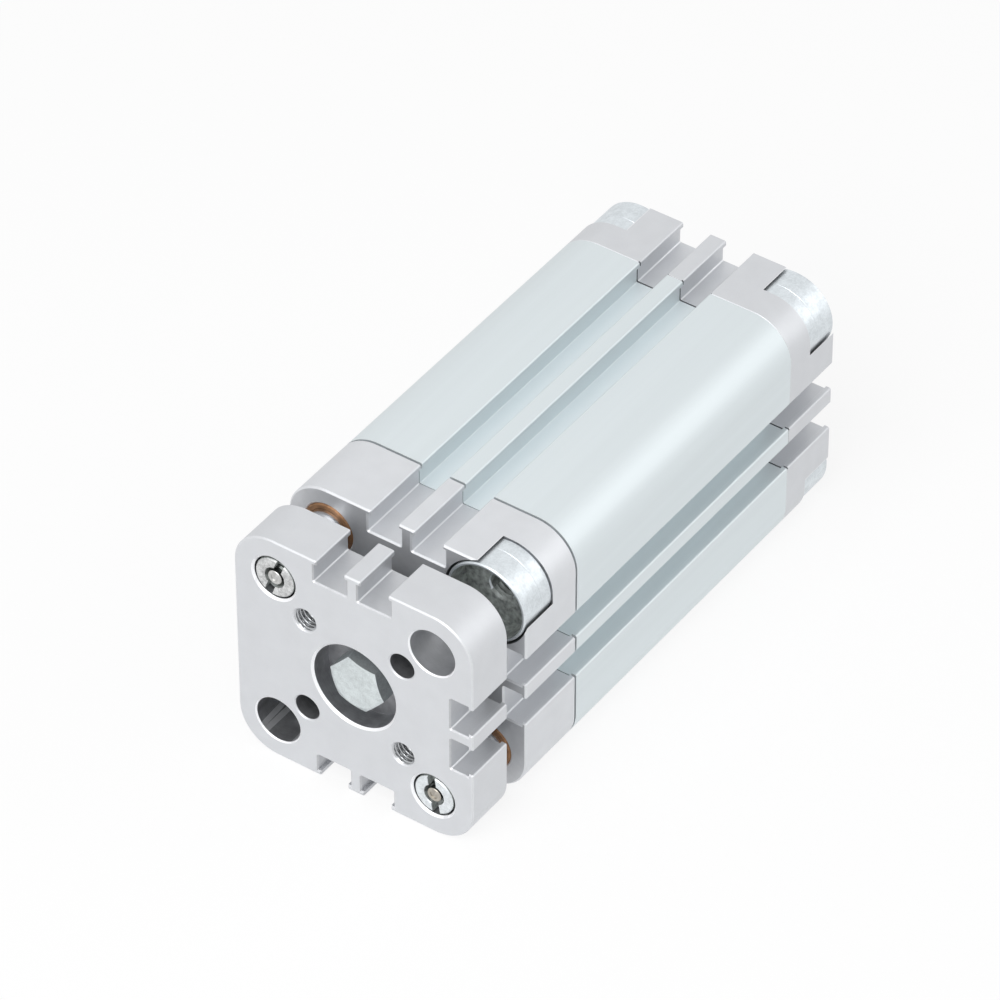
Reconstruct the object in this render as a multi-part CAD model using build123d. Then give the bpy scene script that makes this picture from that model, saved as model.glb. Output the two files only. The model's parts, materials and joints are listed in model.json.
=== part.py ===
from build123d import *
import os
from math import cos, radians, sqrt, tan

# Guided pneumatic cylinder of the compact square kind: a slotted barrel between two end caps,
# a piston rod with a yoke plate, and two guide rods that keep the plate from turning.
# Millimetres. X runs across, Y along the axis from the yoke plate to the rear, Z up.
# The origin is the centre of the rear end face. The rod is drawn in, as in the rest position.

# Cylinder
bore = 32.0
stroke = 50.0
rod_diameter = 12.0
guide_rod_diameter = 8.0
bore_to_screw = 1.931
screw_to_side = 8.25
corner_radius = 8.0
front_cap_length = 15.0
rear_cap_length = 14.0
edge_chamfer = 0.3
joint_chamfer = 0.15

# Slots along the top, right and bottom sides, one each side of a T-shaped rib
rib_width = 3.4
slot_to_pocket = 0.45
slot_undercut = 0.6
slot_lip = 1.0
slot_depth = 4.6
slot_root_radius = 0.25
lip_margin = 0.05

# Grooves where the caps meet the barrel: around the front cap, and in the slots of both caps
joint_groove_width = 0.5
joint_groove_depth = 0.6
front_slot_groove = 0.2
rear_slot_groove = 0.35

# Yoke plate
yoke_thickness = 10.0
yoke_gap = 5.5
yoke_front_chamfer = 0.25
yoke_back_chamfer = 0.15
yoke_pattern_pitch = 20.0
yoke_thread_drill = 4.2
yoke_thread_mouth = 0.4
yoke_dowel_diameter = 5.0
access_hole_diameter = 9.2
rod_seat_depth = 1.0
mouth_chamfer = 0.25

# Hexagon bolt that holds the yoke plate on the piston rod
bolt_diameter = 6.0
bolt_across_flats = 9.8
bolt_head_height = 4.0
bolt_head_recess = 0.55
bolt_head_slope = 22.0
bolt_hold = 10.0
bolt_turn = 48.0
counterbore_diameter = 17.0
counterbore_mouth = 0.4
bolt_hole_clearance = 0.3
blind_run_out = 2.0

# Slotted nuts that hold the guide rods in the yoke plate
guide_stud_diameter = 4.0
guide_nut_diameter = 7.9
guide_nut_height = 4.0
guide_nut_recess = 0.15
guide_nut_clearance = 0.35
guide_nut_mouth = 0.4
guide_nut_countersink = 0.1
guide_nut_slot_width = 1.6
guide_nut_slot_depth = 1.6
guide_nut_turns = (70.0, 98.0)
stud_recess = 0.1
stud_point_diameter = 2.8
stud_point_length = 1.0
stud_point_edge = 0.1
centre_mark_diameter = 1.5
centre_mark_depth = 0.12

# Collar screws at the corners: cupped heads with a female thread for the user's own screws
collar_diameter = 16.0
collar_height = 7.8
collar_wall = 0.55
collar_cup_depth = 4.9
collar_thread_diameter = 10.0
collar_shank_length = 15.0
collar_thread_drill = 5.0
collar_thread_depth = 16.0
collar_key_size = 4.0
collar_key_depth = 3.0
collar_groove = 0.06
collar_groove_height = 4.9
collar_edge = 0.25
pocket_clearance = 0.45
pocket_depth = 7.8
shank_clearance = 0.2
channel_clearance = 0.3
tapped_run_out = 0.5
screw_to_rod_gap = 0.8

# Piston
piston_length = 9.9
piston_clearance = 0.2
piston_flange = 1.2
seal_width = 2.2
seal_section = 3.0
seal_land = 0.6
magnet_section = 3.0
magnet_clearance = 0.05
guide_ring_section = 2.3
rod_spigot_diameter = 8.0
rod_ring_section = 1.0
piston_nut_across_flats = 13.0
piston_nut_height = 4.0
rod_end_proud = 1.0

# Cap insides
spigot_length = 2.0
cap_ring_section = 0.9
bumper_section = 2.2
bumper_thickness = 3.0
bumper_proud = 0.5
bumper_wall = 1.0
end_gap = 0.3
nut_recess_clearance = 0.7
rod_bush_wall = 1.0
rod_bush_length = 9.0
rod_seal_section = 3.0
rod_seal_length = 4.4
seal_lip = 0.5
rod_nose_length = 1.0
rod_nose_clearance = 0.4
guide_bush_wall = 1.0
guide_bush_length = 12.0
air_passage_diameter = 2.8
air_passage_wall = 0.5

# Air ports on the plain left side
port_drill = 8.566
port_depth = 8.0
port_mouth_chamfer = 0.5
front_port_from_face = 7.3
rear_port_from_face = 6.95

# Spanner flats near the rod's front end
flat_across = 10.0
flat_length = 5.0

# Fits
running_clearance = 0.03
lip_clearance = 0.05
fit_clearance = 0.05
seat_clearance = 0.02
over = 1.0


def hexagon_reach(across_flats):
    """Distance from a hexagon's centre to its corners."""
    return across_flats / (2 * cos(radians(30)))


# Places along Y
rear_joint = -rear_cap_length
piston_room = stroke + piston_length + 2 * (bumper_proud + end_gap)
barrel_length = piston_room + 2 * spigot_length
front_joint = rear_joint - barrel_length
front_face = front_joint - front_cap_length
yoke_back = front_face - yoke_gap
yoke_front = yoke_back - yoke_thickness
front_spigot_face = front_joint + spigot_length
rear_spigot_face = rear_joint - spigot_length
piston_rear = rear_spigot_face - bumper_proud - end_gap
piston_front = piston_rear - piston_length
rod_front = yoke_back - rod_seat_depth
rod_rear = piston_rear + piston_nut_height + rod_end_proud
front_port_y = front_face + front_port_from_face
rear_port_y = -rear_port_from_face
collar_front = front_face + pocket_depth - collar_height
collar_rear = collar_height - pocket_depth
rear_screw_tip = -pocket_depth - collar_shank_length
front_screw_tip = front_face + pocket_depth + collar_shank_length
guide_rod_rear = rear_screw_tip - screw_to_rod_gap

# Radii and corner places
lip_radius = max(yoke_front_chamfer, edge_chamfer, joint_chamfer) + lip_margin
tapped_radius = collar_thread_diameter / 2 + fit_clearance
corner = (bore / 2 + bore_to_screw + tapped_radius) / sqrt(2)
half_width = corner + screw_to_side
body_width = 2 * half_width
pocket_radius = collar_diameter / 2 + pocket_clearance
slot_start = rib_width / 2
slot_end = corner - pocket_radius - slot_to_pocket
slot_floor = half_width - slot_depth
shank_hole_radius = collar_thread_diameter / 2 + shank_clearance
channel_radius = guide_rod_diameter / 2 + channel_clearance
spigot_radius = bore / 2 - fit_clearance
cap_groove_radius = bore / 2 - cap_ring_section
nut_recess_radius = hexagon_reach(piston_nut_across_flats) + nut_recess_clearance
ring_squeeze = fit_clearance / 2
bumper_inner = nut_recess_radius + bumper_wall
bumper_outer = bumper_inner + bumper_section
air_passage_radius = cap_groove_radius - air_passage_wall - air_passage_diameter / 2
guide_corners = ((-corner, corner), (corner, -corner))
screw_corners = ((corner, corner), (-corner, -corner))
all_corners = ((corner, corner), (-corner, corner), (-corner, -corner), (corner, -corner))
yoke_pattern = yoke_pattern_pitch / 2


def turned(corners, x=0.0, z=0.0):
    """Body of revolution about the Y direction at (x, z), from (radius, y) corners."""
    return Pos(x, 0, z) * revolve(make_face(Polyline(*corners, close=True)), Axis.Y)


def shaft(radius, start, end, x=0.0, z=0.0, edge=0.0):
    """Round bar along Y with chamfered ends."""
    if edge == 0:
        return turned([(0, start), (radius, start), (radius, end), (0, end)], x, z)
    return turned(
        [
            (0, start),
            (radius - edge, start),
            (radius, start + edge),
            (radius, end - edge),
            (radius - edge, end),
            (0, end),
        ],
        x,
        z,
    )


def hole(radius, mouth_y, bottom_y, x=0.0, z=0.0, mouth=0.0):
    """Cutter for a round hole whose mouth is flared at mouth_y and which ends at bottom_y."""
    way = 1 if bottom_y > mouth_y else -1
    outside = mouth_y - way * over
    corners = [(0, outside), (radius + mouth, outside)]
    if mouth > 0:
        corners += [(radius + mouth, mouth_y), (radius, mouth_y + way * mouth)]
    corners += [(radius, bottom_y), (0, bottom_y)]
    return turned(corners, x, z)


def sleeve(inner, outer, start, end, x=0.0, z=0.0, edge=0.0):
    """Plain ring or bush along Y, its outer edges chamfered."""
    if edge == 0:
        return turned([(inner, start), (outer, start), (outer, end), (inner, end)], x, z)
    return turned(
        [
            (inner, start),
            (outer - edge, start),
            (outer, start + edge),
            (outer, end - edge),
            (outer - edge, end),
            (inner, end),
        ],
        x,
        z,
    )


def prism(face, start, end):
    """The XZ outline carried from start to end along Y."""
    return Pos(0, start, 0) * extrude(Plane.XZ * face, amount=end - start, dir=(0, 1, 0))


def hexagon_bar(across_flats, start, end, turn=0.0, x=0.0, z=0.0):
    """Hexagonal bar along Y, with a corner turned that many degrees from X."""
    outline = Rot(0, 0, turn) * RegularPolygon(across_flats / 2, 6, major_radius=False)
    return Pos(x, 0, z) * prism(outline, start, end)


def slot_outline(side, growth=0.0):
    """One slot of the top side, right (1) or left (-1) of the rib, its outline grown by growth."""
    inner = slot_start - growth
    outer = slot_end + growth
    floor = slot_floor - growth
    under = half_width - slot_lip + growth
    corners = [
        (inner, half_width + over),
        (inner, under),
        (inner - slot_undercut, under),
        (inner - slot_undercut, floor),
        (outer + slot_undercut, floor),
        (outer + slot_undercut, under),
        (outer, under),
        (outer, half_width + over),
    ]
    return make_face(Polyline(*[(side * u, v) for u, v in corners], close=True))


def slot_outlines(growth=0.0):
    """The six slots of the top, right and bottom sides."""
    return [Rot(0, 0, turn) * slot_outline(side, growth) for turn in (0, -90, 180) for side in (1, -1)]


def body_outline():
    """Square outline shared by plate, caps and barrel, with slots on three of its sides."""
    outline = RectangleRounded(body_width, body_width, corner_radius)
    for slot in slot_outlines():
        outline -= slot
    roots = [v for v in outline.vertices() if max(abs(v.X), abs(v.Y)) < slot_floor + lip_margin]
    outline = fillet(roots, slot_root_radius)
    lips = [v for v in outline.vertices() if is_slot_lip(abs(v.X), abs(v.Y))]
    return fillet(lips, lip_radius)


def is_slot_lip(across, up):
    """Whether an outline corner is where a slot's mouth meets the outer side."""
    at_side = max(across, up) > half_width - lip_radius
    near_slots = min(across, up) < slot_end + lip_radius
    return at_side and near_slots


def slot_grooves(joint, way, width):
    """Cutters that widen a cap's slots next to the joint; way points into the cap."""
    low, high = min(joint, joint + way * width), max(joint, joint + way * width)
    return [prism(slot, low, high) for slot in slot_outlines(width)]


def joint_groove(joint):
    """Cutter for the groove around the front cap, next to the barrel."""
    outside = body_width + 2 * over
    inside = body_width - 2 * joint_groove_depth
    frame = Rectangle(outside, outside) - RectangleRounded(inside, inside, corner_radius - joint_groove_depth)
    return prism(frame, joint - joint_groove_width, joint)


def end_edges(body, last):
    """Outer edges of a body's first or last face along Y."""
    faces = body.faces().filter_by(Axis.Y).sort_by(Axis.Y)
    return faces[-1 if last else 0].outer_wire().edges()


def block(start, end, start_chamfer, end_chamfer):
    """Length of the body outline, its ends chamfered by more than nothing."""
    body = prism(body_outline(), start, end)
    if start_chamfer > 0:
        body = chamfer(end_edges(body, False), start_chamfer)
    if end_chamfer > 0:
        body = chamfer(end_edges(body, True), end_chamfer)
    return body


def port_cutter(port_y, spigot_face):
    """Port on the left side, with the drillings that lead from it to the piston's room."""
    radius = port_drill / 2
    depth = half_width - port_depth
    profile = [
        (0, half_width + over),
        (radius + port_mouth_chamfer, half_width + over),
        (radius + port_mouth_chamfer, half_width),
        (radius, half_width - port_mouth_chamfer),
        (radius, depth),
        (0, depth),
    ]
    drilled = revolve(make_face(Polyline(*profile, close=True)), Axis.Y)
    port = Pos(0, port_y, 0) * Rot(0, 0, 90) * drilled
    passage = air_passage_diameter / 2
    length = port_depth + over
    inward = Pos(-air_passage_radius - length / 2, port_y, 0) * Rot(0, 90, 0) * Cylinder(passage, length)
    outside = spigot_face + (over if spigot_face > port_y else -over)
    along = shaft(passage, min(port_y, outside), max(port_y, outside), -air_passage_radius)
    return port + inward + along


def spigot(joint, face):
    """Round step of a cap that centres it in the bore, with a groove for its ring."""
    low, high = min(joint, face), max(joint, face)
    wall = (spigot_length - cap_ring_section - 2 * fit_clearance) / 2
    step = shaft(spigot_radius, low, high)
    return step - sleeve(cap_groove_radius, spigot_radius + over, low + wall, high - wall)


def bumper_cutter(face, way):
    """Ring groove for a bumper in a spigot's face; way points out of the cap."""
    bottom = face - way * (bumper_thickness - bumper_proud)
    low, high = min(bottom, face + way * over), max(bottom, face + way * over)
    return sleeve(bumper_inner - fit_clearance, bumper_outer + fit_clearance, low, high)


def make_barrel():
    """Slotted extrusion with the bore, four corner channels and their tapped ends."""
    cuts = [hole(bore / 2, front_joint, rear_joint + over)]
    for x, z in all_corners:
        cuts.append(hole(channel_radius, front_joint, rear_joint + over, x, z))
        cuts.append(hole(tapped_radius, rear_joint, rear_screw_tip - tapped_run_out, x, z))
    for x, z in screw_corners:
        cuts.append(hole(tapped_radius, front_joint, front_screw_tip + tapped_run_out, x, z))
    return prism(body_outline(), front_joint, rear_joint) - cuts


def make_front_cap():
    """Bearing cap: rod seal, rod bush and two guide bushes sit in it."""
    cap = block(front_face, front_joint, edge_chamfer, 0)
    cap += spigot(front_joint, front_spigot_face)
    nose = rod_diameter / 2 + rod_nose_clearance
    seal_start = front_face + rod_nose_length
    seal_end = seal_start + rod_seal_length + 2 * fit_clearance
    bush_start = front_spigot_face - rod_bush_length - rod_nose_length
    cuts = [
        hole(nose, front_face, front_spigot_face + over, mouth=edge_chamfer),
        shaft(rod_diameter / 2 + rod_seal_section + fit_clearance, seal_start, seal_end),
        shaft(rod_diameter / 2 + rod_bush_wall + seat_clearance, bush_start, front_spigot_face + over),
        bumper_cutter(front_spigot_face, 1),
        port_cutter(front_port_y, front_spigot_face),
        joint_groove(front_joint),
    ]
    cuts += slot_grooves(front_joint, -1, front_slot_groove)
    seat = guide_rod_diameter / 2 + guide_bush_wall + seat_clearance
    seat_end = front_face + guide_bush_length + seat_clearance
    for x, z in guide_corners:
        cuts.append(hole(seat, front_face, seat_end, x, z, edge_chamfer))
        cuts.append(hole(channel_radius, front_face, front_joint + over, x, z))
    for x, z in screw_corners:
        cuts.append(hole(pocket_radius, front_face, front_face + pocket_depth, x, z))
        cuts.append(hole(shank_hole_radius, front_face, front_joint + over, x, z))
    return cap - cuts


def make_rear_cap():
    """End cap with a pocket for a collar screw at each corner and a recess for the piston nut."""
    cap = block(rear_joint, 0, joint_chamfer, edge_chamfer)
    cap += spigot(rear_joint, rear_spigot_face)
    cuts = [
        shaft(nut_recess_radius, rear_spigot_face - over, rod_rear + nut_recess_clearance),
        bumper_cutter(rear_spigot_face, -1),
        port_cutter(rear_port_y, rear_spigot_face),
    ]
    cuts += slot_grooves(rear_joint, 1, rear_slot_groove)
    for x, z in all_corners:
        cuts.append(hole(pocket_radius, 0, -pocket_depth, x, z))
        cuts.append(hole(shank_hole_radius, 0, rear_joint - over, x, z))
    return cap - cuts


def make_cap_ring(face, way):
    """Round sealing ring in a spigot's groove; way points from the spigot's face to the cap."""
    middle = face + way * spigot_length / 2
    section = cap_ring_section / 2 - ring_squeeze
    return Pos(0, middle, 0) * Rot(90, 0, 0) * Torus(bore / 2 - cap_ring_section / 2, section)


def make_bumper(face, way):
    """Rubber ring that stops the piston at the end of its travel; way points out of the cap."""
    back = face - way * (bumper_thickness - bumper_proud - fit_clearance)
    front = face + way * bumper_proud
    return sleeve(bumper_inner, bumper_outer, min(back, front), max(back, front), edge=mouth_chamfer)


def make_rod_seal():
    """Wiper and seal in one ring: a hollow at its back opens the sealing lip."""
    inner = rod_diameter / 2 + running_clearance
    outer = rod_diameter / 2 + rod_seal_section
    start = front_face + rod_nose_length + fit_clearance
    end = start + rod_seal_length
    middle = (inner + outer) / 2
    relief = inner + seal_lip / 2
    return turned(
        [
            (inner, start),
            (outer - seal_lip, start),
            (outer, start + seal_lip),
            (outer, end),
            (middle + seal_lip, end),
            (middle, end - rod_seal_section / 2),
            (middle - seal_lip, end),
            (inner, end),
            (inner, end - seal_lip),
            (relief, end - 2 * seal_lip),
            (relief, start + 2 * seal_lip),
            (inner, start + seal_lip),
        ]
    )


def make_rod_bush():
    """Plain bearing of the piston rod."""
    start = front_spigot_face - rod_bush_length - rod_nose_length + fit_clearance
    inner = rod_diameter / 2 + running_clearance
    return sleeve(inner, rod_diameter / 2 + rod_bush_wall, start, start + rod_bush_length)


def make_guide_bush(x, z):
    """Bronze plain bearing of a guide rod, flush with the cap's front face."""
    inner = guide_rod_diameter / 2 + running_clearance
    outer = guide_rod_diameter / 2 + guide_bush_wall
    return sleeve(inner, outer, front_face, front_face + guide_bush_length, x, z, mouth_chamfer)


def make_collar_screw(x, z, head_end, way):
    """Collar screw, tapped from its head's cup; way points from the free face into the barrel."""
    radius = collar_diameter / 2
    shank = collar_thread_diameter / 2
    under = head_end + way * collar_height
    tip = under + way * collar_shank_length
    mark = head_end + way * collar_groove_height
    screw = turned(
        [
            (0, head_end),
            (radius - collar_edge, head_end),
            (radius, head_end + way * collar_edge),
            (radius, mark - way * collar_groove),
            (radius - collar_groove, mark),
            (radius, mark + way * collar_groove),
            (radius, under - way * collar_edge),
            (radius - collar_edge, under),
            (shank, under),
            (shank, tip - way * collar_edge),
            (shank - collar_edge, tip),
            (0, tip),
        ],
        x,
        z,
    )
    cup_floor = head_end + way * collar_cup_depth
    bottom = head_end + way * collar_thread_depth
    key_end = bottom + way * collar_key_depth
    screw -= hole(radius - collar_wall, head_end, cup_floor, x, z)
    screw -= hole(collar_thread_drill / 2, cup_floor, bottom, x, z, collar_edge)
    return screw - hexagon_bar(collar_key_size, min(bottom, key_end), max(bottom, key_end), 0, x, z)


def make_yoke_plate():
    """Plate that the load is fastened to."""
    plate = block(yoke_front, yoke_back, yoke_front_chamfer, yoke_back_chamfer)
    floor = yoke_front + bolt_head_recess + bolt_head_height
    nut_floor = yoke_front + guide_nut_recess + guide_nut_height
    through = yoke_back + over
    cuts = [
        hole(counterbore_diameter / 2, yoke_front, floor, mouth=counterbore_mouth),
        hole(bolt_diameter / 2 + bolt_hole_clearance, yoke_front, through),
        hole(rod_diameter / 2 + fit_clearance, yoke_back, rod_front),
    ]
    nut_room = guide_nut_diameter / 2 + guide_nut_clearance
    stud_room = guide_stud_diameter / 2 + guide_nut_clearance
    for x, z in guide_corners:
        cuts.append(hole(nut_room, yoke_front, nut_floor, x, z, guide_nut_mouth))
        cuts.append(hole(stud_room, yoke_front, through, x, z))
        cuts.append(hole(guide_rod_diameter / 2 + fit_clearance, yoke_back, rod_front, x, z))
    for x, z in screw_corners:
        cuts.append(hole(access_hole_diameter / 2, yoke_front, through, x, z, mouth_chamfer))
    for place in (yoke_pattern, -yoke_pattern):
        cuts.append(hole(yoke_dowel_diameter / 2, yoke_front, through, place, place, mouth_chamfer))
        cuts.append(hole(yoke_thread_drill / 2, yoke_front, through, -place, place, yoke_thread_mouth))
    return plate - cuts


def make_yoke_bolt():
    """Hexagon bolt from the plate's counterbore into the piston rod."""
    face = yoke_front + bolt_head_recess
    under = face + bolt_head_height
    tip = rod_front + bolt_hold
    flat_radius = bolt_across_flats / 2 - edge_chamfer
    reach = hexagon_reach(bolt_across_flats) + edge_chamfer
    cone_rise = (reach - flat_radius) * tan(radians(bolt_head_slope))
    head = hexagon_bar(bolt_across_flats, face, under, bolt_turn)
    head &= turned([(0, face), (flat_radius, face), (reach, face + cone_rise), (reach, under), (0, under)])
    return head + shaft(bolt_diameter / 2, under - edge_chamfer, tip, edge=edge_chamfer)


def make_guide_nut(x, z, turn):
    """Round nut with two radial slots, just below the plate's face."""
    face = yoke_front + guide_nut_recess
    radius = guide_nut_diameter / 2
    bore_radius = guide_stud_diameter / 2 + fit_clearance
    nut = sleeve(bore_radius, radius, face, face + guide_nut_height, x, z, mouth_chamfer)
    slot = Box(2 * radius + over, 2 * guide_nut_slot_depth, guide_nut_slot_width)
    nut -= hole(bore_radius, face, face + guide_nut_height + over, x, z, guide_nut_countersink)
    return nut - Pos(x, face, z) * Rot(0, -turn, 0) * slot


def make_guide_rod(x, z):
    """Guide rod with a threaded stud through the yoke plate, its end turned down to a point."""
    radius = guide_rod_diameter / 2
    stud = guide_stud_diameter / 2
    point = stud_point_diameter / 2
    face = yoke_front + stud_recess + guide_nut_recess
    shoulder = face + stud_point_length
    rod = shaft(radius, rod_front, guide_rod_rear, x, z, edge_chamfer)
    rod += shaft(stud, shoulder, rod_front + over, x, z, edge_chamfer)
    rod += shaft(point, face, shoulder + over, x, z, stud_point_edge)
    return rod - hole(centre_mark_diameter / 2, face, face + centre_mark_depth, x, z)


def make_piston_rod():
    """Piston rod: tapped at the front, flats for a spanner, stepped for the piston behind."""
    radius = rod_diameter / 2
    rod = shaft(radius, rod_front, piston_front, edge=edge_chamfer)
    rod += shaft(rod_spigot_diameter / 2, piston_front - over, rod_rear, edge=edge_chamfer)
    rod -= hole(bolt_diameter / 2 + fit_clearance, rod_front, rod_front + bolt_hold + blind_run_out)
    flat_start = yoke_back + edge_chamfer
    for side in (1, -1):
        cut = radius - flat_across / 2 + over
        middle = side * (flat_across / 2 + cut / 2)
        rod -= Pos(middle, flat_start + flat_length / 2, 0) * Box(cut, flat_length, 2 * radius)
    return rod


def piston_stations():
    """Places along Y of the piston's front groove, middle gap and rear groove."""
    front_groove = (piston_front + piston_flange, piston_front + piston_flange + seal_width)
    rear_groove = (piston_rear - piston_flange - seal_width, piston_rear - piston_flange)
    middle = (front_groove[1] + seal_land, rear_groove[0] - seal_land)
    return front_groove, middle, rear_groove


def make_piston_half(front):
    """Half of the piston, with its seal groove; the front half carries the hub for the magnet."""
    front_groove, middle, rear_groove = piston_stations()
    outer = bore / 2 - piston_clearance
    groove_floor = bore / 2 - seal_section
    hub = bore / 2 - guide_ring_section - magnet_section - 2 * magnet_clearance
    inner = rod_spigot_diameter / 2 + fit_clearance
    if front:
        half = sleeve(inner, outer, piston_front, middle[0], edge=mouth_chamfer)
        half += sleeve(inner, hub, piston_front, middle[1])
        half -= sleeve(groove_floor, outer + over, *front_groove)
        recess = rod_spigot_diameter / 2 + rod_ring_section + fit_clearance
        return half - hole(recess, piston_front, piston_front + rod_ring_section + fit_clearance)
    half = sleeve(inner, outer, middle[1], piston_rear, edge=mouth_chamfer)
    return half - sleeve(groove_floor, outer + over, *rear_groove)


def make_piston_seal(front):
    """Lip seal of the piston, its open side towards the pressure."""
    front_groove, middle, rear_groove = piston_stations()
    start, end = front_groove if front else rear_groove
    start += fit_clearance
    end -= fit_clearance
    outer = bore / 2 - lip_clearance
    inner = bore / 2 - seal_section + fit_clearance
    open_end, closed_end = (start, end) if front else (end, start)
    groove_floor = (open_end + closed_end) / 2
    return turned(
        [
            (inner, open_end),
            (inner + seal_lip, open_end),
            (inner + 2 * seal_lip, groove_floor),
            (outer - 2 * seal_lip, groove_floor),
            (outer - seal_lip, open_end),
            (outer, open_end),
            (outer - piston_clearance, closed_end),
            (inner, closed_end),
        ]
    )


def make_magnet():
    """Magnet ring that works the position sensors in the slots."""
    front_groove, middle, rear_groove = piston_stations()
    outer = bore / 2 - guide_ring_section - magnet_clearance
    return sleeve(outer - magnet_section, outer, middle[0] + magnet_clearance, middle[1] - magnet_clearance)


def make_guide_ring():
    """Slide ring that carries the piston in the bore."""
    front_groove, middle, rear_groove = piston_stations()
    start = middle[0] + magnet_clearance
    end = middle[1] - magnet_clearance
    return sleeve(bore / 2 - guide_ring_section, bore / 2 - lip_clearance, start, end, edge=mouth_chamfer)


def make_piston_nut():
    """Thin hexagon nut that clamps the piston on the rod's step."""
    bar = hexagon_bar(piston_nut_across_flats, piston_rear, piston_rear + piston_nut_height)
    return bar - shaft(rod_spigot_diameter / 2 + fit_clearance, piston_rear - over, rod_rear + over)


def make_rod_ring():
    """Sealing ring between rod step and piston."""
    middle = rod_ring_section / 2 + ring_squeeze
    major = rod_spigot_diameter / 2 + middle
    ring = Torus(major, rod_ring_section / 2 - ring_squeeze)
    return Pos(0, piston_front + middle, 0) * Rot(90, 0, 0) * ring


def make_pieces():
    """All pieces by node name."""
    pieces = {
        "barrel": make_barrel(),
        "front_cap": make_front_cap(),
        "rear_cap": make_rear_cap(),
        "front_cap_seal": make_cap_ring(front_spigot_face, -1),
        "rear_cap_seal": make_cap_ring(rear_spigot_face, 1),
        "front_bumper": make_bumper(front_spigot_face, 1),
        "rear_bumper": make_bumper(rear_spigot_face, -1),
        "rod_seal": make_rod_seal(),
        "rod_bush": make_rod_bush(),
        "yoke_plate": make_yoke_plate(),
        "yoke_bolt": make_yoke_bolt(),
        "piston_rod": make_piston_rod(),
        "piston_front_half": make_piston_half(True),
        "piston_rear_half": make_piston_half(False),
        "piston_front_seal": make_piston_seal(True),
        "piston_rear_seal": make_piston_seal(False),
        "piston_magnet": make_magnet(),
        "piston_guide_ring": make_guide_ring(),
        "piston_nut": make_piston_nut(),
        "piston_rod_seal": make_rod_ring(),
    }
    for number, (x, z) in enumerate(guide_corners, 1):
        pieces[f"guide_bush_{number}"] = make_guide_bush(x, z)
        pieces[f"guide_rod_{number}"] = make_guide_rod(x, z)
        pieces[f"guide_rod_nut_{number}"] = make_guide_nut(x, z, guide_nut_turns[number - 1])
    for number, (x, z) in enumerate(screw_corners, 1):
        pieces[f"front_collar_screw_{number}"] = make_collar_screw(x, z, collar_front, 1)
    for number, (x, z) in enumerate(all_corners, 1):
        pieces[f"rear_collar_screw_{number}"] = make_collar_screw(x, z, collar_rear, -1)
    return pieces


os.makedirs("parts", exist_ok=True)
for name, piece in make_pieces().items():
    export_step(piece, f"parts/{name}.step")
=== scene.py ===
import json
from math import cos, pi, radians, sin

import bpy
import numpy as np
from bpy.props import FloatProperty, FloatVectorProperty, IntProperty, PointerProperty
from bpy.types import Operator, Panel, PropertyGroup
from mathutils import Matrix, Vector


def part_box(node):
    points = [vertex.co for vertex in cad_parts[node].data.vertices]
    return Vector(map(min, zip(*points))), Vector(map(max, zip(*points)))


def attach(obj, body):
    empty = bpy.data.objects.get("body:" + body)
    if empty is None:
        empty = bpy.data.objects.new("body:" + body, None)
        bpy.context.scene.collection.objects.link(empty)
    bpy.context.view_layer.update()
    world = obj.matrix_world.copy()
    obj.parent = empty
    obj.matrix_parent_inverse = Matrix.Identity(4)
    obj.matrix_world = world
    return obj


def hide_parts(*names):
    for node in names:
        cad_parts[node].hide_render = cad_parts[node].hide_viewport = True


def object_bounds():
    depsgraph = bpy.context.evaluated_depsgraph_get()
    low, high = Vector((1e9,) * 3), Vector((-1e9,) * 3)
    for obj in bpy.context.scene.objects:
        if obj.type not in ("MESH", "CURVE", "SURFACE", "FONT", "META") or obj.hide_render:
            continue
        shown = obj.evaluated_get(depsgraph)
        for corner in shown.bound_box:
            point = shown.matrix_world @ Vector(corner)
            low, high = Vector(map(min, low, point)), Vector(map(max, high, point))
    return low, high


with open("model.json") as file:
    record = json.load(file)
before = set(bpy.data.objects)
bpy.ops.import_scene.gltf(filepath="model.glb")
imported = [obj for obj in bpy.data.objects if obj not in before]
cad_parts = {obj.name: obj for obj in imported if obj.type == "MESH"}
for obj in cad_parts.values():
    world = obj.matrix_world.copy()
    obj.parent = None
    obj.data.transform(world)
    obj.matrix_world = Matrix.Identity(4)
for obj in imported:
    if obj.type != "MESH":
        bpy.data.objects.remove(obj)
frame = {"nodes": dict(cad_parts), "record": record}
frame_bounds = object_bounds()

bl_info = {
    "name": "Guided pneumatic cylinder",
    "version": (1, 0, 0),
    "blender": (4, 5, 0),
    "location": "View3D > Sidebar > Cylinder",
    "description": "Finishes, cut threads and studio of a compact guided cylinder",
    "category": "Object",
}

# Metres. X runs across, Y along the axis from the yoke plate to the rear, Z up.
record = frame["record"]
nodes = frame["nodes"]
mounts = {mount["name"]: mount for mount in record["mounts"]}
slot_of = {part["node"]: part["material_slot"] for part in record["subparts"]}
body_of = {node: body for body, members in record["behaviour"]["bodies"].items() for node in members}
MM = 0.001
corner = mounts["rear_threads"]["dims"]["spacing_x_mm"] / 2 * MM
plate_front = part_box("yoke_plate")[0].y
plate_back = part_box("yoke_plate")[1].y
body_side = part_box("barrel")[1].x
floor_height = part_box("barrel")[0].z
cap_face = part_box("front_cap")[0].y
front_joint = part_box("barrel")[0].y
rear_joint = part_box("barrel")[1].y
CORNERS = ((corner, corner), (-corner, corner), (-corner, -corner), (corner, -corner))

# Largest radius of walls marked as cut, with painted shade: pockets and bores, access holes, nut seats.
POCKET = 8.6 * MM
ACCESS = 4.9 * MM
NUT_MOUTH = 4.8 * MM
# A nut is darkened with painted shade, mottled like a stain, behind this depth from its face; a stud gets
# painted shade behind this depth from the plate's face.
NUT_FACE = 0.2 * MM
STUD_FACE = 0.45 * MM
# A guide rod is plain steel from this far ahead of the plate's back.
STUD_START = 2 * MM
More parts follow.
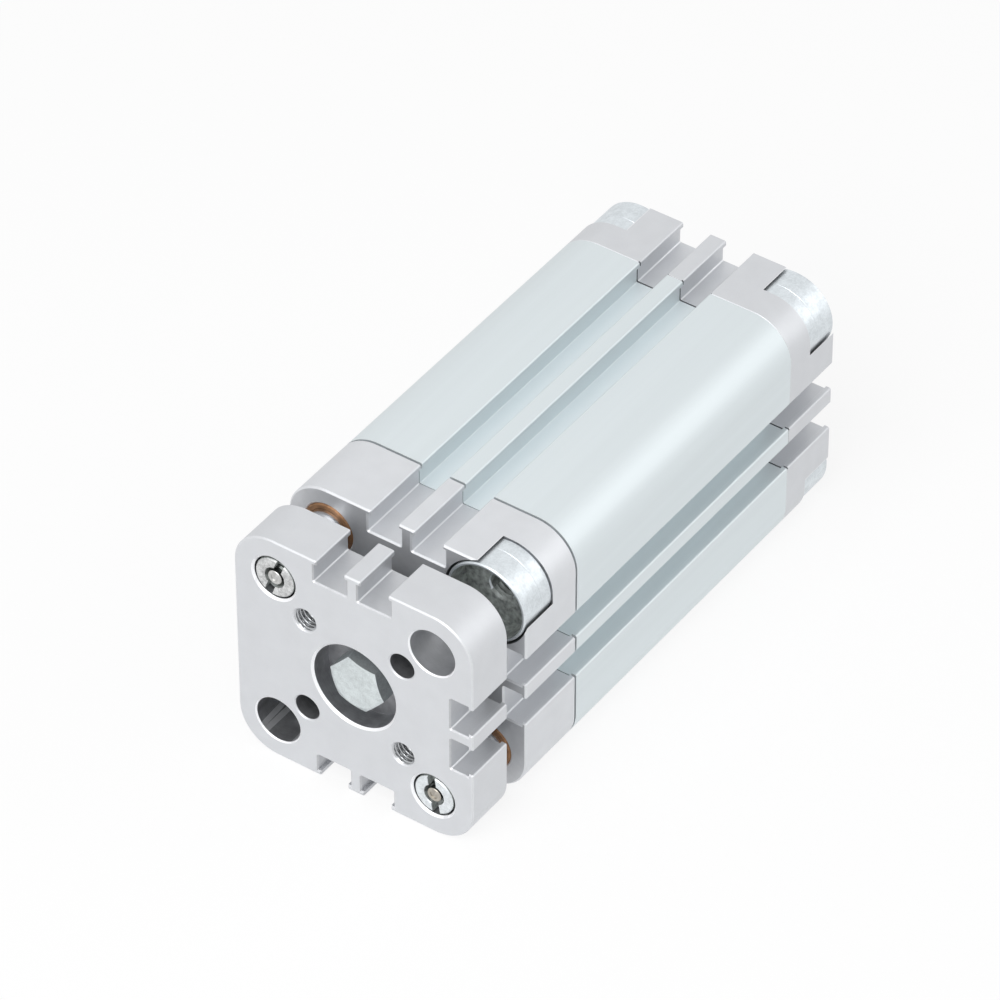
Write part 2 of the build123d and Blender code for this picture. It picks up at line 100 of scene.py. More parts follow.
# Shares of the cut look: painted shade on the faces in the gap between cap and plate; one access hole, marked
# less so that its walls are lighter; the mouths and depths of the plate's slots.
GAP_SHADE_SHARE = 0.3
TOP_RIGHT_HOLE_SHARE = 0.55
MOUTH_SHARE = 0.6
SLOT_SHARE = 0.2
# Share of painted highlight on the slots' rounded roots.
ROOT_HIGHLIGHT_SHARE = 0.6
# Tone of the plate and the rear cap, and painted light that makes the barrel's slot floors lighter.
DULL_SHARE = 0.95
SLOT_FLOOR_LIGHT_SHARE = 1.18
# Faces across the axis are marked as cut, with painted shade, down to this depth in each cap.
FRONT_DEEP = 8 * MM
REAR_DEEP = 9 * MM
# Slots: depth of the floor, height of its rounded root, most distance from a side's middle.
SLOT_DEPTH = 4.6 * MM
ROOT = 0.3 * MM
SLOT_REACH = 8.5 * MM
# Joints with the barrel: band and depth of the front cap's edge groove, length of the slots' flares.
JOINT_BAND = 0.6 * MM
GROOVE_DEEP = 0.7 * MM
SLOT_FLARE = 0.4 * MM
CORNER_RADIUS = 8 * MM
HOLE_CHAMFER = 0.4 * MM
# Cosines: a face counts as facing a direction above the first, and as turned away below the second.
FACING = 0.98
STEEP = 0.1
NEAR = 0.05 * MM


def length_setting(name, default, text):
    """Setting for a length."""
    return FloatProperty(name=name, description=text, default=default, unit="LENGTH")


def share_setting(name, default, text):
    """Setting for a share of one."""
    return FloatProperty(name=name, description=text, default=default, subtype="FACTOR")


def angle_setting(name, degrees, text):
    """Setting for an angle."""
    return FloatProperty(name=name, description=text, default=radians(degrees), subtype="ANGLE")


def colour_setting(name, default, text):
    """Setting for a colour."""
    return FloatVectorProperty(name=name, description=text, default=default, size=3, subtype="COLOR")


class CylinderThreads(PropertyGroup):
    """Sizes of the cut threads."""

    plate_pitch: length_setting("Plate pitch", 0.0008, "Pitch of the yoke plate's M5 threads")
    plate_root: length_setting("Plate root radius", 0.0025, "Outer radius of the M5 thread groove")
    screw_pitch: length_setting("Collar screw pitch", 0.001, "Pitch of the collar screws' M6 threads")
    screw_root: length_setting("Collar screw root radius", 0.003, "Outer radius of the M6 thread groove")
    port_pitch: length_setting("Port pitch", 0.000907, "Pitch of the G1/8 port threads")
    port_root: length_setting("Port root radius", 0.004864, "Outer radius of the G1/8 thread groove")
    wall: length_setting("Wall", 0.00005, "Metal left behind the groove in the thread's own ring")
    rows: IntProperty(name="Rows per pitch", description="Mesh rows along one pitch", default=14)
    sides: IntProperty(name="Sides", description="Mesh columns around a thread", default=64)


class CylinderFinishes(PropertyGroup):
    """Colours and grain of the metals and soft parts."""

    barrel: colour_setting("Barrel", (0.70, 0.755, 0.775), "Pale green-grey anodised extrusion")
    cap: colour_setting("Caps and plate", (0.685, 0.70, 0.725), "Plain satin aluminium")
    # The cut colour's darkness is painted shade in bores, pockets, gaps and grooves; the milled tool marks
    # over it are the real finish.
    cut: colour_setting("Cut faces", (0.34, 0.345, 0.36), "Bored and milled metal inside caps and plate")
    # Colour of the painted highlights on edges, chamfers, bore mouths and slot roots.
    edge: colour_setting("Edges", (0.93, 0.94, 0.96), "Bright metal of rubbed and chamfered edges")
    thread: colour_setting("Threads", (0.52, 0.535, 0.55), "Cut aluminium of the female threads")
    screw: colour_setting("Collar screws", (0.70, 0.745, 0.775), "Bright bluish zinc plate")
    # The cups' dark colour is painted shade inside screw heads, nut slots and recesses, under a mottled
    # stain.
    cup: colour_setting("Cups", (0.33, 0.355, 0.345), "Stained metal inside screw heads and nut slots")
    bolt: colour_setting("Hexagon bolt", (0.66, 0.71, 0.72), "Greenish-white zinc plate")
    nut: colour_setting("Nuts", (0.72, 0.73, 0.73), "Zinc plate of the top left nut and piston nut")
    clear_nut: colour_setting("Clear nut", (0.80, 0.84, 0.86), "Zinc plate of the bottom right nut")
    stud: colour_setting("Stud end", (0.57, 0.57, 0.56), "Steel end of the top left guide rod")
    dull_stud: colour_setting("Dull stud end", (0.45, 0.42, 0.37), "Steel end of the bottom right guide rod")
    rod: colour_setting("Rods", (0.60, 0.61, 0.62), "Ground hard chrome")
    bronze: colour_setting("Bushes", (0.30, 0.16, 0.08), "Dull sintered bronze")
    piston: colour_setting("Piston", (0.58, 0.59, 0.60), "Turned aluminium")
    rubber: colour_setting("Rubber", (0.022, 0.022, 0.024), "Black seal rubber")
    plastic: colour_setting("Guide ring", (0.60, 0.54, 0.42), "Pale slide ring plastic")
    magnet: colour_setting("Magnet", (0.045, 0.045, 0.05), "Dark plastic bound magnet")
    # Width and share of the painted highlights along edges and roots.
    edge_width: length_setting("Edge width", 0.00014, "Width of the rubbed metal along an edge")
    highlight_share: share_setting("Edge share", 0.5, "How far rubbed edges go to the bright metal")
    # Share of the painted highlights on chamfers and countersinks.
    chamfer_highlight_share: share_setting("Chamfer share", 0.1, "How far chamfers go to the bright metal")
    grain: length_setting("Grain", 0.00018, "Size of the satin grain of caps and plate")
    draw_line: length_setting("Draw line", 0.00012, "Width of the extrusion's draw lines")
    turning: length_setting("Turning marks", 0.00009, "Width of the marks of turned surfaces")


class CylinderStudio(PropertyGroup):
    """Camera, lamps and floor."""

    azimuth: angle_setting("Azimuth", 35.037, "Turn of the camera about Z from looking along +Y")
    elevation: angle_setting("Elevation", 41.226, "Angle at which the camera looks down")
    roll: angle_setting("Roll", -0.031, "Turn of the camera about its own line of sight")
    eye: FloatVectorProperty(name="Eye", description="Place of the camera",
                             default=(0.484451, -0.758048, 0.750526), size=3, subtype="XYZ", unit="LENGTH")
    lens: FloatProperty(name="Lens", description="Focal length in mm on a 36 mm sensor", default=236.334)
    background: FloatProperty(name="Background", description="Brightness of the backdrop", default=1.0)
    fill: FloatProperty(name="Fill", description="Brightness of the room light on the object", default=0.5)
    key_lamp: FloatProperty(name="Key lamp", description="Radiance of the front lamp", default=3.9)
    side_lamp: FloatProperty(name="Side lamp", description="Radiance of the rear right lamp", default=0.85)
    lamp_size: length_setting("Lamp size", 0.65, "Side of the square lamps")
    lamp_distance: length_setting("Lamp distance", 0.9, "From the object's middle to a lamp")
    floor_size: length_setting("Floor size", 6.0, "Side of the square floor")
    floor_colour: colour_setting("Floor colour", (0.95, 0.95, 0.95), "White floor")
    floor_lift: share_setting("Floor lift", 0.85, "Share of plain white in the floor that the camera sees")


# Node tree helpers

# Cosines between which a rounded normal turns from an edge to a flat side.
EDGE_START = 0.86
EDGE_END = 0.99
# Share of Y in the normal of a face that counts as a chamfer.
CHAMFER_LOW = 0.3
CHAMFER_HIGH = 0.95


def put(tree, kind, inputs=None, **settings):
    """Add a node; each input is a value, or a socket that is linked to it."""
    node = tree.nodes.new(kind)
    for name, value in settings.items():
        setattr(node, name, value)
    for name, value in (inputs or {}).items():
        if isinstance(value, bpy.types.NodeSocket):
            tree.links.new(value, node.inputs[name])
        else:
            node.inputs[name].default_value = value
    return node


def calc(tree, operation, *values):
    """One Math node on values or sockets; gives its result."""
    return put(tree, "ShaderNodeMath", dict(enumerate(values)), operation=operation).outputs[0]


def place(tree, size, centre=(0, 0, 0)):
    """Object coordinates from centre, counted in features of that size."""
    coordinates = put(tree, "ShaderNodeTexCoord").outputs["Object"]
    mapping = put(tree, "ShaderNodeMapping", {"Vector": coordinates, "Location": centre, "Scale": size},
                  vector_type="TEXTURE")
    return mapping.outputs["Vector"]


def split_place(tree, centre=(0, 0, 0)):
    """X, Y and Z of the Object coordinates from centre, in metres."""
    return put(tree, "ShaderNodeSeparateXYZ", {"Vector": place(tree, (1, 1, 1), centre)}).outputs


def noise(tree, size, centre=(0, 0, 0), detail=3.0, roughness=0.5):
    """Noise whose features have that size, either one number or one for each direction."""
    vector = place(tree, size if isinstance(size, tuple) else (size,) * 3, centre)
    inputs = {"Vector": vector, "Scale": 1.0, "Detail": detail, "Roughness": roughness}
    return put(tree, "ShaderNodeTexNoise", inputs).outputs["Fac"]


def ring_marks(tree, centre, width):
    """Marks of turning about the Y direction through centre: rings on end faces, bands on round sides."""
    split = split_place(tree, centre)
    radius = calc(tree, "SQRT", calc(tree, "ADD", calc(tree, "POWER", split["X"], 2.0),
                                     calc(tree, "POWER", split["Z"], 2.0)))
    vector = put(tree, "ShaderNodeCombineXYZ", {"X": calc(tree, "DIVIDE", radius, width),
                                                "Y": calc(tree, "DIVIDE", split["Y"], width)})
    return put(tree, "ShaderNodeTexNoise", {"Vector": vector.outputs["Vector"], "Scale": 1.0, "Detail": 2.0},
               noise_dimensions="2D").outputs["Fac"]


def spread(tree, value, low, high, start=0.3, end=0.7):
    """The value from start to end as low to high."""
    return put(tree, "ShaderNodeMapRange", {"Value": value, "From Min": start, "From Max": end,
                                            "To Min": low, "To Max": high}).outputs["Result"]


def mixed(tree, factor, first, second):
    """Colour mix of two sockets or colours by a factor."""
    node = put(tree, "ShaderNodeMix", data_type="RGBA")
    for socket, value in zip((node.inputs[0], node.inputs[6], node.inputs[7]), (factor, first, second)):
        if isinstance(value, bpy.types.NodeSocket):
            tree.links.new(value, socket)
        else:
            socket.default_value = value
    return node.outputs[2]


def shade(colour, share):
    """A colour made lighter or darker, with its alpha."""
    return (*(min(c * share, 1.0) for c in colour), 1.0)


def blend(tree, first, second, share):
    """Two values added up, the second with that share and the first with the rest."""
    return calc(tree, "ADD", calc(tree, "MULTIPLY", first, 1 - share), calc(tree, "MULTIPLY", second, share))


def toned(tree, value, colour, low, high, start=0.3, end=0.7):
    """The colour times low where the value is at start, up to the colour times high where it is at end."""
    return mixed(tree, spread(tree, value, 0, 1, start, end), shade(colour, low), shade(colour, high))


def bumped(tree, height, depth):
    """Normals of a surface whose height varies by depth."""
    inputs = {"Height": height, "Distance": depth, "Strength": 1.0}
    return put(tree, "ShaderNodeBump", inputs).outputs["Normal"]


def edge_highlight_mask(tree, width):
    """Mask of painted highlights: 1 within that width of an edge or a root, and 0 elsewhere."""
    rounded = put(tree, "ShaderNodeBevel", {"Radius": width}, samples=4).outputs["Normal"]
    flat = put(tree, "ShaderNodeNewGeometry").outputs["True Normal"]
    along = put(tree, "ShaderNodeVectorMath", {0: rounded, 1: flat}, operation="DOT_PRODUCT").outputs["Value"]
    return spread(tree, along, 1.0, 0.0, EDGE_START, EDGE_END)


def chamfered(tree):
    """1 on faces that slope to the Y direction, as chamfers and countersinks do, and 0 elsewhere."""
    normal = put(tree, "ShaderNodeTexCoord").outputs["Normal"]
    slope = calc(tree, "ABSOLUTE", put(tree, "ShaderNodeSeparateXYZ", {"Vector": normal}).outputs["Y"])
    return calc(tree, "MULTIPLY", calc(tree, "GREATER_THAN", slope, CHAMFER_LOW),
                calc(tree, "LESS_THAN", slope, CHAMFER_HIGH))


def face_value(tree, name):
    """The piece's own value of that name, written on its faces."""
    return put(tree, "ShaderNodeAttribute", attribute_name=name).outputs["Fac"]


def new_material(name):
    """Empty material with its node tree."""
    material = bpy.data.materials.new(name)
    material.use_nodes = True
    material.node_tree.nodes.clear()
    return material, material.node_tree


def surface(tree, colour, metallic, roughness, normal=None):
    """Principled surface and its output."""
    inputs = {"Base Color": colour, "Metallic": metallic, "Roughness": roughness}
    if normal is not None:
        inputs["Normal"] = normal
    shader = put(tree, "ShaderNodeBsdfPrincipled", inputs)
    put(tree, "ShaderNodeOutputMaterial", {"Surface": shader.outputs["BSDF"]})


# Materials

# Sizes of marks: draw lines and bands along Y, clouds, tool marks and smears of milling, haze, stains.
DRAW_LENGTH = 60 * MM
DRAW_BAND = 3.5 * MM
CLOUD = 4 * MM
TOOL_MARK = 1.6 * MM
SMEAR = 1.8 * MM
THREAD_SMEAR = (0.8 * MM, 0.3 * MM, 0.8 * MM)
HAZE = (3 * MM, 20 * MM, 3 * MM)
STAIN = 0.7 * MM
PORE = 0.22 * MM
BRONZE_CLOUD = 1.2 * MM


def finishes():
    """The finish settings of the scene."""
    return bpy.context.scene.cylinder_finishes


def extrusion_metal():
    """Anodised extrusion: fine draw lines along Y under a satin grain, with painted highlights at its edges
    and painted light on its slot floors.
    """
    look = finishes()
    material, tree = new_material("anodised_extrusion")
    line = look.draw_line
    lines = noise(tree, (line, DRAW_LENGTH, line), detail=2.0)
    wide = noise(tree, (DRAW_BAND, 2 * DRAW_LENGTH, DRAW_BAND), detail=2.0)
    grain = noise(tree, line, detail=2.0)
    both = blend(tree, lines, grain, 0.4)
    plain = toned(tree, blend(tree, both, wide, 0.5), look.barrel, 0.965, 1.035)
    across = split_place(tree)
    reach = calc(tree, "MAXIMUM", calc(tree, "ABSOLUTE", across["X"]), calc(tree, "ABSOLUTE", across["Z"]))
    in_floor = calc(tree, "LESS_THAN", reach, body_side - SLOT_DEPTH + NEAR)
    # Painted light: the slot floors are made lighter than the rest of the barrel.
    plain = mixed(tree, in_floor, plain, shade(look.barrel, SLOT_FLOOR_LIGHT_SHARE))
    # Painted highlights along edges and roots, mixed toward the highlight colour.
    edges = calc(tree, "MULTIPLY", edge_highlight_mask(tree, look.edge_width), look.highlight_share)
    colour = mixed(tree, edges, plain, shade(look.edge, 1))
    surface(tree, colour, metallic=0.55, roughness=spread(tree, both, 0.44, 0.54),
            normal=bumped(tree, both, depth=2.5e-6))
    return material


def satin_metal(name, tone_share):
    """Aluminium of caps and plate: satin grain outside; milled marks in a dark colour where marked cut, the
    darkness being painted shade in bores and recesses; painted highlights at edges, chamfers, bore mouths and
    slot roots.
    """
    look = finishes()
    material, tree = new_material(name)
    grain = noise(tree, look.grain, roughness=0.6)
    cloud = noise(tree, CLOUD)
    tone = blend(tree, grain, cloud, 0.45)
    satin = toned(tree, tone, look.cap, tone_share * 0.955, tone_share * 1.045)
    tool = noise(tree, (TOOL_MARK, look.turning, TOOL_MARK), detail=2.0)
    smear = noise(tree, SMEAR)
    # Milled tool marks in the dark cut colour, which is painted shade in bores and recesses.
    milled = toned(tree, blend(tree, tool, smear, 0.6), look.cut, 0.72, 1.3)
    cut = face_value(tree, "cut")
    plain = mixed(tree, cut, satin, milled)
    # Painted highlights along edges and roots.
    edges = calc(tree, "MULTIPLY", edge_highlight_mask(tree, look.edge_width), look.highlight_share)
    # Painted highlights on chamfers and countersinks.
    chamfers = calc(tree, "MULTIPLY", chamfered(tree), look.chamfer_highlight_share)
    bright = calc(tree, "MAXIMUM", edges, chamfers)
    # Painted highlights marked on the faces: bore mouths and slot roots.
    bright = calc(tree, "MAXIMUM", bright, face_value(tree, "bright"))
    colour = mixed(tree, bright, plain, shade(look.edge, 1))
    roughness = spread(tree, grain, 0.42, 0.54)
    metallic = calc(tree, "ADD", 0.55, calc(tree, "MULTIPLY", cut, 0.4))
    surface(tree, colour, metallic, roughness, bumped(tree, grain, depth=5e-6))
    return material


def thread_metal():
    """Bright cut aluminium of a female thread."""
    look = finishes()
    material, tree = new_material("cut_thread")
    smear = noise(tree, THREAD_SMEAR, detail=2.0)
    colour = toned(tree, smear, look.thread, 0.85, 1.1)
    surface(tree, colour, metallic=0.9, roughness=spread(tree, smear, 0.24, 0.34))
    return material


def zinc_plate(name, base, centre, patch, dark, deep=None):
    """Zinc plate over turned steel, with soft patches as dark as given; where cut or deeper, a mottled stain
    darkened with painted shade.
    """
    look = finishes()
    material, tree = new_material(name)
    marks = ring_marks(tree, centre, look.turning)
    patches = noise(tree, patch, centre, detail=4.0, roughness=0.62)
    specks = noise(tree, patch / 4, centre, detail=2.0)
    tone = blend(tree, patches, specks, 0.25)
    spots = toned(tree, tone, base, dark, 1.08, 0.36, 0.62)
    colour = mixed(tree, spread(tree, marks, 0, 0.35), spots, shade(base, 0.9))
    stains = noise(tree, patch, centre, detail=4.0, roughness=0.6)
    stained_and_shaded = toned(tree, stains, look.cup, 0.55, 1.45, 0.35, 0.65)
    # Painted shade with a mottled stain where cut or behind the given depth.
    inside = face_value(tree, "cut")
    if deep is not None:
        sunk = calc(tree, "GREATER_THAN", split_place(tree)["Y"], deep)
        inside = calc(tree, "MAXIMUM", inside, sunk)
    colour = mixed(tree, inside, colour, stained_and_shaded)
    normal = bumped(tree, calc(tree, "ADD", marks, calc(tree, "MULTIPLY", tone, 2.0)), depth=2.5e-6)
    metallic = calc(tree, "SUBTRACT", 0.8, calc(tree, "MULTIPLY", inside, 0.5))
    roughness = calc(tree, "ADD", spread(tree, tone, 0.48, 0.34), calc(tree, "MULTIPLY", inside, 0.25))
    surface(tree, colour, metallic, roughness, normal)
    return material


def ground_chrome(centre, name, stud=None):
    """Hard chrome, ground around the rod; a guide rod's stud ahead of it is plain turned steel, with painted
    shade where it lies sunk behind the plate's face.
    """
    look = finishes()
    material, tree = new_material(name)
    marks = ring_marks(tree, centre, look.turning / 2)
    haze = noise(tree, HAZE, centre)
    colour = toned(tree, haze, look.rod, 0.96, 1.04)
    roughness = spread(tree, marks, 0.1, 0.2)
    if stud is not None:
        along = split_place(tree)["Y"]
        ahead = calc(tree, "LESS_THAN", along, plate_back - STUD_START)
        steel = toned(tree, noise(tree, STAIN, centre), stud, 0.8, 1.15)
        # Painted shade on the stud where it lies sunk behind the plate's face.
        sunk = calc(tree, "GREATER_THAN", along, plate_front + STUD_FACE)
        steel = mixed(tree, sunk, steel, shade(look.cup, 0.35))
        colour = mixed(tree, ahead, colour, steel)
        roughness = calc(tree, "ADD", roughness, calc(tree, "MULTIPLY", ahead, 0.2))
    surface(tree, colour, metallic=1.0, roughness=roughness, normal=bumped(tree, marks, depth=4e-7))
    return material


def sintered_bronze():
    """Dull bronze with open pores."""
    look = finishes()
    material, tree = new_material("sintered_bronze")
    voronoi = put(tree, "ShaderNodeTexVoronoi", {"Vector": place(tree, (PORE,) * 3), "Scale": 1.0})
    pores = voronoi.outputs["Distance"]
    colour = toned(tree, noise(tree, BRONZE_CLOUD), look.bronze, 0.75, 1.3)
    colour = mixed(tree, spread(tree, pores, 1, 0, 0.1, 0.3), colour, shade(look.bronze, 0.35))
    surface(tree, colour, metallic=0.6, roughness=0.5, normal=bumped(tree, pores, depth=6e-6))
    return material


def turned_aluminium():
    """Bright turned piston metal."""
    look = finishes()
    material, tree = new_material("turned_aluminium")
    marks = ring_marks(tree, (0, 0, 0), look.turning)
    colour = toned(tree, marks, look.piston, 0.9, 1.06)
    surface(tree, colour, metallic=0.9, roughness=spread(tree, marks, 0.26, 0.36),
            normal=bumped(tree, marks, depth=2e-6))
    return material


def matte(name, base, speck, roughness, contrast):
    """Dull rubber, plastic or bound powder with a fine speckle."""
    material, tree = new_material(name)
    specks = noise(tree, speck, detail=4.0)
    colour = toned(tree, specks, base, 1 - contrast, 1 + contrast)
    surface(tree, colour, metallic=0.0, roughness=spread(tree, specks, roughness - 0.06, roughness + 0.06),
            normal=bumped(tree, specks, depth=speck / 30))
    return material


# Meshes

# Face marks: cut is the milled look with painted shade, bright is painted highlight.
MARKS = ("cut", "bright")
CUT, PAINTED_HIGHLIGHT = range(len(MARKS))
# Points closer than this are one point, and points within the second distance of a bore belong to it.
WELD = 1e-7
SAME = 2e-6


def shape_of(mesh):
    """Points, faces, corner normals and the marks of each face, with doubled points welded."""
    points = np.zeros(len(mesh.vertices) * 3)
    mesh.vertices.foreach_get("co", points)
    corners = np.zeros(len(mesh.loops), dtype=np.int64)
    mesh.loops.foreach_get("vertex_index", corners)
    normals = np.zeros(len(mesh.loops) * 3)
    mesh.corner_normals.foreach_get("vector", normals)
    rounded = np.round(points.reshape(-1, 3) / WELD).astype(np.int64)
    first, index = np.unique(rounded, axis=0, return_index=True, return_inverse=True)[1:]
    corners = index.reshape(-1)[corners]
    faces = [tuple(corners[p.loop_start:p.loop_start + p.loop_total]) for p in mesh.polygons]
    return [points.reshape(-1, 3)[first], faces, normals.reshape(-1, 3), np.zeros((len(faces), len(MARKS)))]


def joined(name, shapes, materials):
    """One mesh of several shapes, each with its own material and corner normals."""
    points, faces, normals, marks, index, start = [], [], [], [], [], 0
    for number, (shape_points, shape_faces, shape_normals, shape_marks) in enumerate(shapes):
        points.append(shape_points)
        normals.append(shape_normals)
        marks.append(shape_marks)
        faces += [tuple(int(i) + start for i in face) for face in shape_faces]
        index += [min(number, len(materials) - 1)] * len(shape_faces)
        start += len(shape_points)
    mesh = bpy.data.meshes.new(name)
    mesh.from_pydata(np.concatenate(points).tolist(), [], faces)
    for material in materials:
        mesh.materials.append(material)
    mesh.polygons.foreach_set("material_index", index)
    values = np.concatenate(marks)
    for column, mark in enumerate(MARKS):
        mesh.attributes.new(mark, "FLOAT", "FACE").data.foreach_set("value", values[:, column].copy())
    mesh.normals_split_custom_set(np.concatenate(normals).tolist())
    return mesh


def flat_faces(shape):
    """Middle and normal of each face of a shape."""
    points, faces = shape[0], shape[1]
    corners = points[np.array([face[:3] for face in faces])]
    normals = np.cross(corners[:, 1] - corners[:, 0], corners[:, 2] - corners[:, 0])
    lengths = np.linalg.norm(normals, axis=1)
    return corners.mean(axis=1), normals / np.maximum(lengths, 1e-20)[:, None]


def between(middles, low, high):
    """Whether each middle lies between two places along Y."""
    return (middles[:, 1] > low) & (middles[:, 1] < high)


def in_slots(middles, beyond, below):
    """Whether each middle lies in a slot, at most beyond its floor and at least below the outer side."""
    across = np.sort(np.abs(middles[:, [0, 2]]), axis=1)
    found = (across[:, 0] < SLOT_REACH) & (across[:, 1] > body_side - SLOT_DEPTH - beyond)
    return found & (across[:, 1] < body_side - below)


def mark_bores(shape, bores, share=1):
    """Mark the walls of bores along Y as cut, with painted shade, and their mouths with a painted highlight;
    a bore is x, z and radius.
    """
    middles, normals = flat_faces(shape)
    slope = np.abs(normals[:, 1])
    for x, z, largest in bores:
        toward = np.stack([x - middles[:, 0], z - middles[:, 2]], 1)
        distance = np.linalg.norm(toward, axis=1)
        facing = toward[:, 0] * normals[:, 0] + toward[:, 1] * normals[:, 2]
        around = (facing > FACING * distance * np.sqrt(1 - slope ** 2)) & (distance < largest)
        shape[3][around & (slope < STEEP), CUT] = share
        shape[3][around & (slope > CHAMFER_LOW) & (slope < CHAMFER_HIGH), PAINTED_HIGHLIGHT] = 1


def mark_ends(shape, low, high, share):
    """Mark the faces across the Y direction that lie between two places as cut to that share, with painted
    shade.
    """
    middles, normals = flat_faces(shape)
    shape[3][(np.abs(normals[:, 1]) > FACING) & between(middles, low, high), CUT] = share


def mark_grooves(shape, low, high, least, most):
    """Mark as cut, with painted shade, the faces between two places along Y that lie that deep below the
    outer sides.
    """
    middles = flat_faces(shape)[0]
    across = np.abs(middles[:, [0, 2]])
    flat = body_side - CORNER_RADIUS
    round_corner = np.min(across, axis=1) > flat
    reach = np.where(round_corner, np.hypot(*(across - flat).T) + flat, np.max(across, axis=1))
    depth = body_side - reach
    shape[3][between(middles, low, high) & (depth > least) & (depth < most), CUT] = 1


def mark_flares(shape, low, high):
    """Mark as cut, with painted shade, the slots' walls and floors between two places along Y."""
    middles = flat_faces(shape)[0]
    shape[3][in_slots(middles, MM, NEAR) & between(middles, low - NEAR, high + NEAR), CUT] = 1


def mark_slots(shape, low, high, share):
    """Mark the slots' walls, floors and mouths between two places along Y as cut to that share."""
    middles, normals = flat_faces(shape)
    found = in_slots(middles, ROOT, ROOT) & between(middles, low, high)
    shape[3][found & (np.abs(normals[:, 1]) < CHAMFER_HIGH), CUT] = share


def mark_roots(shape):
    """Mark the small rounded roots of the slots with a painted highlight."""
    middles, normals = flat_faces(shape)
    depth = body_side - np.max(np.abs(middles[:, [0, 2]]), axis=1)
    slanted = np.min(np.abs(normals[:, [0, 2]]), axis=1) > STEEP
    shape[3][slanted & (depth > SLOT_DEPTH - ROOT) & (depth < SLOT_DEPTH + ROOT), PAINTED_HIGHLIGHT] = ROOT_HIGHLIGHT_SHARE


def widen(shape, mouth, inward, length, old, new):
    """Move the points of a round bore with that mouth from the old radius to the new one."""
    points = shape[0]
    reach = points - np.array(mouth)
    along = reach @ np.array(inward)
    out = reach - np.outer(along, inward)
    radius = np.linalg.norm(out, axis=1)
    found = (np.abs(radius - old) < SAME) & (along > -SAME) & (along < length + SAME)
    if not found.any():
        raise ValueError(f"no bore of radius {old} at {tuple(mouth)}")
    points[found] += out[found] * (new / radius[found] - 1)[:, None]


# Cut threads

THREAD_INPUTS = (
    ("Count", "NodeSocketInt"), ("First", "NodeSocketVector"), ("Step", "NodeSocketVector"),
    ("Turn", "NodeSocketVector"), ("Crest Radius", "NodeSocketFloat"), ("Root Radius", "NodeSocketFloat"),
    ("Wall Radius", "NodeSocketFloat"), ("Pitch", "NodeSocketFloat"), ("Length", "NodeSocketFloat"),
    ("Mouth Radius", "NodeSocketFloat"), ("Start", "NodeSocketFloat"), ("Rows per Pitch", "NodeSocketInt"),
    ("Sides", "NodeSocketInt"), ("Material", "NodeSocketMaterial"),
)
# Shares of half a pitch, from the middle of the groove, where its flat root ends and its crest begins.
ROOT_FLAT = 0.125
CREST_FLAT = 0.75
MERGE = 1e-6
SHARP_ANGLE = radians(38)


